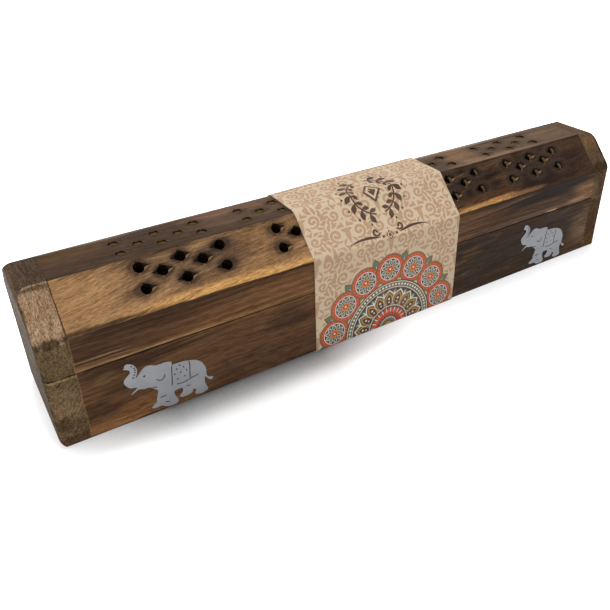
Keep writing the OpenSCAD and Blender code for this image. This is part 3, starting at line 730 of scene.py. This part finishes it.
def curl(centre, reach, eye, start, sweep, thin, thick, steps=20):
    """A tendril that winds in round its centre from reach to eye, swells as it goes and ends in a ball."""
    line, widths = [], []
    for i in range(steps + 1):
        t = i / steps
        r = reach + (eye - reach) * t ** 0.8
        a = math.radians(start + sweep * t)
        line.append((centre[0] + r * math.cos(a), centre[1] + r * math.sin(a)))
        widths.append(thin + (thick - thin) * math.sin(math.pi * min(1, 0.1 + 0.8 * t)))
    return [ribbon(line, widths), spot(*line[-1], 0.62 * thick, 10)]


def fan(centre, near, far, angles, turn, width, bend):
    """Leaves that spring from a curl, all leaning the same way round."""
    leaves = []
    for angle in angles:
        a, b = math.radians(angle), math.radians(angle + turn)
        root = (centre[0] + near * math.cos(a), centre[1] + near * math.sin(a))
        tip = (centre[0] + far * math.cos(b), centre[1] + far * math.sin(b))
        leaves.append(leaf(root, tip, width, bend, full=0.42, steps=6))
    return leaves


# One repeat of the scrolls is drawn this long and wide, and then scaled
DRAWN_REPEAT = 27.0


def scroll_half():
    """One half of a repeat of a traditional scroll pattern. The other half mirrors it."""
    return [
        *curl((8.0, 7.6), 4.9, 1.0, 235, 450, 0.7, 1.9),
        *fan((8.0, 7.6), 4.8, 8.6, (-78, -46, -14, 18, 50, 82, 114, 146), 34, 2.1, -0.9),
        *curl((4.7, 20.4), 4.0, 0.9, 10, -440, 0.6, 1.7),
        *fan((4.7, 20.4), 3.9, 7.3, (-50, -16, 18, 52, 86, 120), -34, 1.9, 0.8),
        leaf((0.1, 0.4), (1.7, 9.4), 2.1, 0.6, steps=6), leaf((0.9, 11.4), (2.2, 15.4), 1.8, -0.4, steps=6),
        leaf((4.9, 0.4), (1.6, 4.8), 1.6, -0.5, steps=6), leaf((0.2, 26.6), (2.6, 25.2), 1.4, 0.3, steps=6),
        leaf((13.3, 15.2), (12.3, 19.6), 1.9, -0.3, steps=6),
        leaf((13.3, 20.6), (11.6, 24.4), 1.9, -0.5, steps=6),
        spot(0.0, 10.6, 0.8, 8), spot(13.4, 13.4, 0.7, 8), spot(9.9, 25.9, 0.7, 8),
        spot(12.8, 25.9, 0.6, 8), spot(0.0, 17.0, 0.7, 8),
    ]


def scroll_print(sizes, high):
    """The scroll pattern from the fold under the front up to the end of the card, mirrored about the band's
    middle, every other column half a repeat up. It is left out where the rosette covers it."""
    repeat, shapes = sizes.repeat / MM, []
    # the scrolls run a few millimetres in under the rosette's edge
    scale, covered = repeat / DRAWN_REPEAT, sizes.rosette / MM - 3.5
    # an odd offset keeps the drawing's corners off the folds' cuts
    offset = 0.137
    for column in range(-3, 4):
        for row in range(-1, math.ceil(high / repeat) + 1):
            base = (row + (0.5 if column % 2 else 0.0)) * repeat + offset
            for shape in scroll_half():
                for side in (-1, 1):
                    placed = [(column * repeat + side * x * scale, base + s * scale) for x, s in shape]
                    if max(s for x, s in placed) > 0 and math.hypot(*placed[0]) > covered:
                        shapes.append(("scroll", placed))
    return shapes


def around(shapes, angle, radius=0.0, middle=(0.0, 0.0)):
    """Shapes drawn pointing up the band, turned to an angle from upright and moved out from the middle."""
    turned = []
    for ink, points in shapes:
        c, n = math.cos(angle), math.sin(angle)
        turned.append((ink, [
            (middle[0] + x * c + (s + radius) * n, middle[1] - x * n + (s + radius) * c) for x, s in points
        ]))
    return turned


def ring(count, step, first, shapes):
    """Shapes repeated round the middle every step degrees, the first of them that number of steps round."""
    made = []
    for k in range(count):
        made += around(shapes, math.radians(step * (first + k)))
    return made


def discs(sides, *rings):
    """Round spots of ink round the middle, each smaller than the one before it."""
    return [(ink, spot(0, 0, radius, sides)) for ink, radius in rings]


def medallion():
    """A round flower of ten petals inside a coral ring."""
    petal = [
        ("white", leaf((0, 1.4), (0, 5.2), 2.0, full=0.66)),
        ("sage", leaf((0, 1.8), (0, 4.8), 1.3, full=0.66)),
    ]
    return [
        *discs(30, ("olive", 8.1), ("coral", 7.4)), *ring(20, 18, 0, [("ochre", spot(0, 6.55, 0.33, 6))]),
        *discs(28, ("white", 5.7), ("umber", 5.3)), *ring(10, 36, 0, petal),
        ("ochre", spot(0, 0, 2.2, 18)), ("coral", spot(0, 0, 1.5, 14)), ("white", spot(0, 0, 0.55, 10)),
    ]


def rosette_print(sizes):
    """A half rosette that rises from the fold under the front: round medallions and spear leaves, a beaded
    ring, a ring of scales and a core of seeds. It is drawn with a radius of 40 and then scaled."""
    spear = [
        ("olive", leaf((0, -9.0), (0, 6.0), 6.6, steps=12)),
        ("sage", leaf((0, -8.0), (0, 4.6), 4.9, steps=12)),
        ("umber", leaf((0, -7.0), (0, 3.8), 1.3, full=0.5)),
        ("white", leaf((0, -6.0), (0, 3.0), 0.5, full=0.5)),
    ]
    between = [
        ("sage", leaf((0, 13.6), (0, 20.2), 3.0, full=0.66)),
        ("white", leaf((0, 14.6), (0, 19.4), 0.7, full=0.66)),
    ]
    scale = [
        ("white", leaf((0, 8.0), (0, 20.0), 6.6, full=0.62, steps=12)),
        ("olive", leaf((0, 8.4), (0, 19.2), 5.8, full=0.62, steps=12)),
        ("ochre", leaf((0, 8.8), (0, 18.2), 4.2, full=0.62, steps=10)),
        ("umber", leaf((0, 9.0), (0, 17.5), 3.3, full=0.62, steps=10)),
        ("white", spot(0, 15.0, 0.6, 9)), ("white", spot(0, 13.2, 0.45, 8)),
    ]
    seed = [("coral", leaf((0, 4.6), (0, 10.5), 2.0, full=0.6)), ("ochre", spot(0, 8.1, 0.42, 8))]
    gap = [("white", leaf((0, 7.2), (0, 10.4), 0.7, full=0.6))]
    apart = math.radians(25.7)
    shapes = []
    for k in range(-3, 5):
        shapes += around(spear, apart * (k - 0.5), 34.0)
    for k in range(-3, 4):
        shapes += around(medallion(), apart * k, 31.2)
    shapes += discs(60, ("umber", 24.6), ("white", 23.9), ("olive", 23.5))
    shapes += ring(39, 4.8, -19, [("white", spot(0, 22.3, 0.62, 9))])
    shapes += discs(54, ("white", 21.1), ("umber", 20.7))
    shapes += ring(10, 20, -4.5, between) + ring(9, 20, -4, scale)
    shapes += discs(40, ("white", 11.3), ("umber", 10.9))
    shapes += ring(13, 15, -6, seed) + ring(12, 15, -5.5, gap)
    shapes += discs(24, ("white", 4.9), ("sage", 4.5), ("umber", 3.2), ("ochre", 2.5))
    unit = sizes.rosette / MM / 40.0
    return [(ink, [(x * unit, s * unit) for x, s in points]) for ink, points in shapes]


def wreath_print(middle_s):
    """A wreath of two leafy sprigs round a small lozenge, and a divider below it, in dark brown."""
    shapes, reach = [], 11.4
    for side in (-1, 1):
        for k in range(7):
            a = side * math.radians(25 + 21 * k)
            for outward, size in ((1, 1.0), (-1, 0.74)):
                tip = (side * 3.9 * size, 3.8 * size * outward)
                sprig = [("umber", leaf((0, 0), tip, 2.7 * size, 0.45 * side * outward))]
                shapes += around(sprig, a, reach, (0, middle_s))
            shapes += around([("umber", spot(side * 1.4, 5.2, 0.6, 8))], a, reach, (0, middle_s))
        stem = [math.radians(side * (16 + 8 * k)) for k in range(20)]
        stem = [(reach * math.sin(a), middle_s + reach * math.cos(a)) for a in stem]
        shapes.append(("umber", ribbon(stem, [0.8] * len(stem))))
        below = middle_s - 22.0
        arm = leaf((side * 5.0, below), (side * 23.0, below), 1.3, 1.3 * side, full=0.4, steps=14)
        shapes.append(("umber", arm))
        for points in curl((0, 0), 2.1, 0.7, 200, 330, 0.4, 1.0):
            shapes.append(("umber", [(side * (6.6 + x), below + 2.9 + s) for x, s in points]))
        shapes.append(("umber", spot(side * 3.7, below, 0.65)))
    for at, size in ((middle_s, 1.75), (below, 0.7)):
        for ink, share in (("umber", 1.0), ("ground", 0.72), ("umber", 0.46)):
            tall, wide = 3.4 * size * share, 2.8 * size * share
            shapes.append((ink, [(0, at - tall), (wide, at), (0, at + tall), (-wide, at)]))
    return shapes


# Each is a colour of the card band's settings. Where shapes overlap, the one drawn last shows.
INKS = ("ground", "scroll", "umber", "coral", "olive", "ochre", "sage", "white")


def signed_area(points):
    return sum(a[0] * b[1] - b[0] * a[1] for a, b in zip(points, points[1:] + points[:1])) / 2


def goes_round(outline, x, s):
    """Whether a closed outline goes round a place."""
    inside = False
    for (x0, s0), (x1, s1) in zip(outline, outline[1:] + outline[:1]):
        if (s0 > s) != (s1 > s) and x < x0 + (x1 - x0) * (s - s0) / (s1 - s0):
            inside = not inside
    return inside


def flat_print(sizes, half_width, lengths):
    """Cuts the flat band into triangles along every printed edge and every fold, and says each one's ink."""
    low, high = lengths[0], lengths[-1]
    soft_cuts, underside = 6, -1.2
    points, outlines, inks, folds, shapes = [], [], [], [], []

    def outline(ink, shape):
        shape = shape if signed_area(shape) > 0 else shape[::-1]
        outlines.append(list(range(len(points), len(points) + len(shape))))
        points.extend(shape)
        inks.append(ink)
        shapes.append(shape)

    outline("ground", [(-half_width, low), (half_width, low), (half_width, high), (-half_width, high)])
    # along every fold, and from end to end where the folds grow crisp
    cuts = [((-half_width, s), (half_width, s)) for s in lengths[1:-1]]
    for k in range(soft_cuts):
        x = -half_width + sizes.soft_width / MM * k / (soft_cuts - 1) + 0.05
        cuts.append(((x, low), (x, high)))
    for cut in cuts:
        folds.append((len(points), len(points) + 1))
        points.extend(cut)
    # the wreath lies over the top's front fold, which is turn 3
    wreath = wreath_print(lengths[fold_index(sizes, 3)])
    for ink, shape in [*scroll_print(sizes, high), *rosette_print(sizes), *wreath]:
        outline(ink, shape)
    # the triangles fill the outlines' whole hull, and points nearer than this in mm are taken as one
    whole_hull, nearer = 0, 1e-4
    flat, _, triangles, _, _, sources = delaunay_2d_cdt(points, folds, outlines, whole_hull, nearer, True)
    kept = []
    for corners, owners in zip(triangles, sources):
        x, s = (sum(flat[i][axis] for i in corners) / len(corners) for axis in (0, 1))
        if abs(x) > half_width or not low < s < high:
            continue
        # the underside is left bare, and a shape that only touches the triangle doesn't print it
        printed = (i for i in sorted(owners, reverse=True) if s > underside and goes_round(shapes[i], x, s))
        kept.append((list(corners), INKS.index(inks[next(printed, 0)])))
    return flat, kept


def printed_card(name, ink):
    """Uncoated kraft board, offset printed: a matt, faintly fibrous surface with slightly uneven ink."""
    looks = bpy.context.scene.incense_band
    material, tree = new_material(name)
    place = add(tree, "VectorMath", add(tree, "TexCoord", out=3), (1 / MM,) * 3, operation="MULTIPLY")
    layers = (((size,) * 3, detail) for size, detail in ((0.35, 3.0), (2.6, 3.0), (14.0, 2.0)))
    fibre, blotch, cloud = noise_layers(tree, place, *layers)
    shade = add(tree, "Math", blotch, 0.08, 0.91, operation="MULTIPLY_ADD")
    shade = add(tree, "Math", fibre, 0.1, shade, operation="MULTIPLY_ADD")
    base = add(tree, "VectorMath", tuple(ink)[:3], named={"Scale": shade}, operation="SCALE")
    share = add(tree, "MapRange", cloud, 0.4, 0.7, 0.0, 0.14)
    base = add(tree, "Mix", share, named={6: base, 7: tuple(looks.scroll)}, out=2, data_type="RGBA")
    roughness = add(tree, "MapRange", blotch, 0.3, 0.7, 0.62, 0.74)
    return finish_material(material, base, roughness, fibre, 0.03, IOR=1.46)


def inner_path(path, card):
    """The inside of the band, one thickness of card in from each point of its outside."""
    moved = []
    for i, point in enumerate(path):
        run = path[min(i + 1, len(path) - 1)] - path[max(i - 1, 0)]
        moved.append(point + Vector((run.y, -run.x)).normalized() * card)
    return moved


def band_mesh(sizes):
    """The folded card band as a mesh: its printed outside, its raw inside and its raw cut edges."""
    low, high = (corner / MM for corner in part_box("card_band"))
    half_width, middle_x, card = (high.x - low.x) / 2, (high.x + low.x) / 2, sizes.card / MM
    crisp, lengths = band_path(sizes, sizes.fold)
    soft, _ = band_path(sizes, sizes.soft_fold)
    outside, inside = (crisp, soft), (inner_path(crisp, card), inner_path(soft, card))
    flat, triangles = flat_print(sizes, half_width, lengths)

    def on_band(point, layer):
        i = min(max(bisect_right(lengths, point.y) - 1, 0), len(crisp) - 2)
        t = min(max((point.y - lengths[i]) / (lengths[i + 1] - lengths[i]), 0.0), 1.0)
        # the folds are soft at the left edge, and ease over into crisp ones
        ease = max(0.0, 1.0 - (point.x + half_width) * MM / sizes.soft_width)
        near, far = (path[i].lerp(path[i + 1], t) for path in layer)
        place = near.lerp(far, ease * ease * (3 - 2 * ease))
        return ((middle_x + point.x) * MM, place.x * MM, place.y * MM)

    used = sorted({i for corners, _ in triangles for i in corners})
    renumber = {old: new for new, old in enumerate(used)}
    count, raw = len(used), len(INKS)
    points = [on_band(flat[i], layer) for layer in (outside, inside) for i in used]
    faces, inks, edges = [], [], {}
    for corners, ink in triangles:
        face = [renumber[i] for i in corners]
        faces += [face, [i + count for i in reversed(face)]]
        inks += [ink, raw]
        edges.update(dict.fromkeys(zip(face, face[1:] + face[:1])))
    # an edge that is walked one way only has no neighbour, so it is the card's own edge
    for i, j in edges:
        if (j, i) not in edges:
            faces.append([j, i, i + count, j + count])
            inks.append(raw)
    mesh = bpy.data.meshes.new("printed_card_band")
    mesh.from_pydata(points, [], faces)
    for ink in INKS:
        mesh.materials.append(printed_card("printed_card_" + ink, getattr(sizes, ink)))
    mesh.materials.append(printed_card("raw_card", sizes.raw))
    mesh.polygons.foreach_set("material_index", inks)
    mesh.polygons.foreach_set("use_smooth", [True] * len(faces))
    mesh.validate()
    mesh.set_sharp_from_angle(angle=math.radians(40))
    return mesh


class INCENSE_OT_band(bpy.types.Operator):
    """Makes the printed card band, folded round the box and glued at the back"""

    bl_idname = "incense.band"
    bl_label = "Card band"

    def execute(self, context):
        band = new_object("printed_card_band", band_mesh(context.scene.incense_band))
        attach(band, "band")
        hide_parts("card_band")
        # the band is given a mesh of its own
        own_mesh(band)
        return {"FINISHED"}


def seen_share(tree):
    """One where the stage is looked at, straight or in a gloss or through glass, and nought where it only
    lights the box."""
    path = add(tree, "LightPath", out=None).outputs
    seen = add(tree, "Math", path["Is Camera Ray"], path["Is Glossy Ray"], operation="MAXIMUM")
    return add(tree, "Math", seen, path["Is Transmission Ray"], operation="MAXIMUM")


def studio_floor():
    """Seamless white paper: it shows white to the camera and in gloss, and keeps the box's soft shadow,
    deepened with painted shade close to the box. It glows a little, more so away from the box and past the
    shadow's two ends, which is painted light that washes the shadow out there."""
    material, tree = new_material("seamless_white_paper")
    place = add(tree, "TexCoord", out=3)
    seen = seen_share(tree)
    grain = add(tree, "TexNoise", named={"Vector": place, "Scale": 900.0, "Detail": 2.0})
    shade = add(tree, "MapRange", grain, 0.3, 0.7, 0.96, 0.98)
    shade = add(tree, "Math", shade, add(tree, "MapRange", seen, 0.0, 1.0, 0.6, 1.0), operation="MULTIPLY")
    # painted shade: the paper's colour darkens where the box hides it from the sky, and its glow fades there
    free = add(tree, "AmbientOcclusion", named={"Distance": 0.024}, out=1, samples=8)
    shade = add(tree, "Math", shade, add(tree, "MapRange", free, 0.5, 0.98, 0.3, 1.0), operation="MULTIPLY")
    paper = add(tree, "BsdfDiffuse", add(tree, "CombineXYZ", shade, shade, shade))
    glow = add(tree, "MapRange", free, 0.5, 0.98, 0.03, 0.32)
    # how far in metres the shadow's middle lies along X and Y, and where the paper grows white past it
    parts = add(tree, "SeparateXYZ", place, out=None).outputs
    for part, middle, starts, ends in ((parts[0], -0.072, 0.035, 0.085), (parts[1], -0.03, 0.06, 0.12)):
        away = add(tree, "Math", add(tree, "Math", part, -middle, operation="ADD"), operation="ABSOLUTE")
        away = add(tree, "MapRange", away, starts, ends, 0.0, 0.7)
        glow = add(tree, "Math", glow, away, operation="ADD")
    glow = add(tree, "Math", seen, glow, operation="MULTIPLY")
    lift = add(tree, "Emission", (1, 1, 1, 1), glow)
    add(tree, "OutputMaterial", add(tree, "AddShader", paper, lift), out=None)
    return material


def studio_world(sky):
    """Even light from all round, which shows as white wherever it is looked at."""
    world = bpy.data.worlds.new("studio")
    world.use_nodes = True
    tree = world.node_tree
    tree.nodes.clear()
    strength = add(tree, "MapRange", seen_share(tree), 0.0, 1.0, sky, 1.0)
    add(tree, "OutputWorld", add(tree, "Background", (1, 1, 1, 1), strength), out=None)
    return world


class INCENSE_OT_stage(bpy.types.Operator):
    """Sets up the white floor, the soft lamps and the camera"""

    bl_idname = "incense.stage"
    bl_label = "Stage"

    def execute(self, context):
        sizes = context.scene.incense_stage
        mesh = bpy.data.meshes.new("floor")
        mesh.from_pydata([(-3, -3, 0), (3, -3, 0), (3, 3, 0), (-3, 3, 0)], [], [(0, 1, 2, 3)])
        mesh.materials.append(studio_floor())
        new_object("floor", mesh)
        context.scene.world = studio_world(sizes.sky)
        middle = Vector((0, 0, 0.03))
        lamps = (
            ("softbox_above", sizes.key, 0.24, Vector((-0.12, 0.23, 1.05))),
            ("softbox_front", sizes.fill, 0.7, Vector((-0.4, -1.0, 0.5))),
        )
        for name, power, width, place in lamps:
            lamp = bpy.data.lights.new(name, "AREA")
            lamp.energy, lamp.size, lamp.shape = power, width, "DISK"
            holder = new_object(name, lamp)
            holder.location = place
            holder.rotation_euler = (middle - place).to_track_quat("-Z", "Y").to_euler()
        camera = bpy.data.cameras.new("camera")
        camera.lens, camera.sensor_width, camera.clip_start = sizes.lens, 36.0, 0.01
        camera.shift_x = camera.shift_y = sizes.shift
        eye = new_object("camera", camera)
        # the view of the photo, fitted to fifteen of the box's corners
        place, right = (-0.165718, -0.243193, 0.190354), (0.844388, -0.535633, -0.010299)
        up, back = (0.284518, 0.432068, 0.855784), (-0.453936, -0.725545, 0.517230)
        eye.matrix_world = Matrix.Translation(place) @ Matrix((right, up, back)).transposed().to_4x4()
        context.scene.camera = eye
        context.scene.view_settings.view_transform = "Standard"
        return {"FINISHED"}


STEPS = (
    INCENSE_OT_boards, INCENSE_OT_blocks, INCENSE_OT_inside, INCENSE_OT_metal, INCENSE_OT_band,
    INCENSE_OT_stage,
)
GROUPS = {
    "incense_wood": WoodLooks,
    "incense_metal": MetalLooks,
    "incense_band": BandSizes,
    "incense_stage": StageSizes,
}


class INCENSE_PT_box(bpy.types.Panel):
    """Buttons and sizes of the incense box"""

    bl_idname = "INCENSE_PT_box"
    bl_label = "Incense box"
    bl_space_type = "VIEW_3D"
    bl_region_type = "UI"
    bl_category = "Incense box"

    def draw(self, context):
        for step in STEPS:
            self.layout.operator(step.bl_idname)
        for name, group in GROUPS.items():
            box = self.layout.box()
            box.label(text=group.__doc__.rstrip("."))
            for key in group.__annotations__:
                box.prop(getattr(context.scene, name), key)


def register():
    for made in (*GROUPS.values(), *STEPS, INCENSE_PT_box):
        bpy.utils.register_class(made)
    for name, group in GROUPS.items():
        setattr(bpy.types.Scene, name, PointerProperty(type=group))


def unregister():
    for name in GROUPS:
        delattr(bpy.types.Scene, name)
    for made in reversed((*GROUPS.values(), *STEPS, INCENSE_PT_box)):
        bpy.utils.unregister_class(made)


def main():
    register()
    for step in STEPS:
        family, name = step.bl_idname.split(".")
        getattr(getattr(bpy.ops, family), name)()


if __name__ == "__main__":
    main()
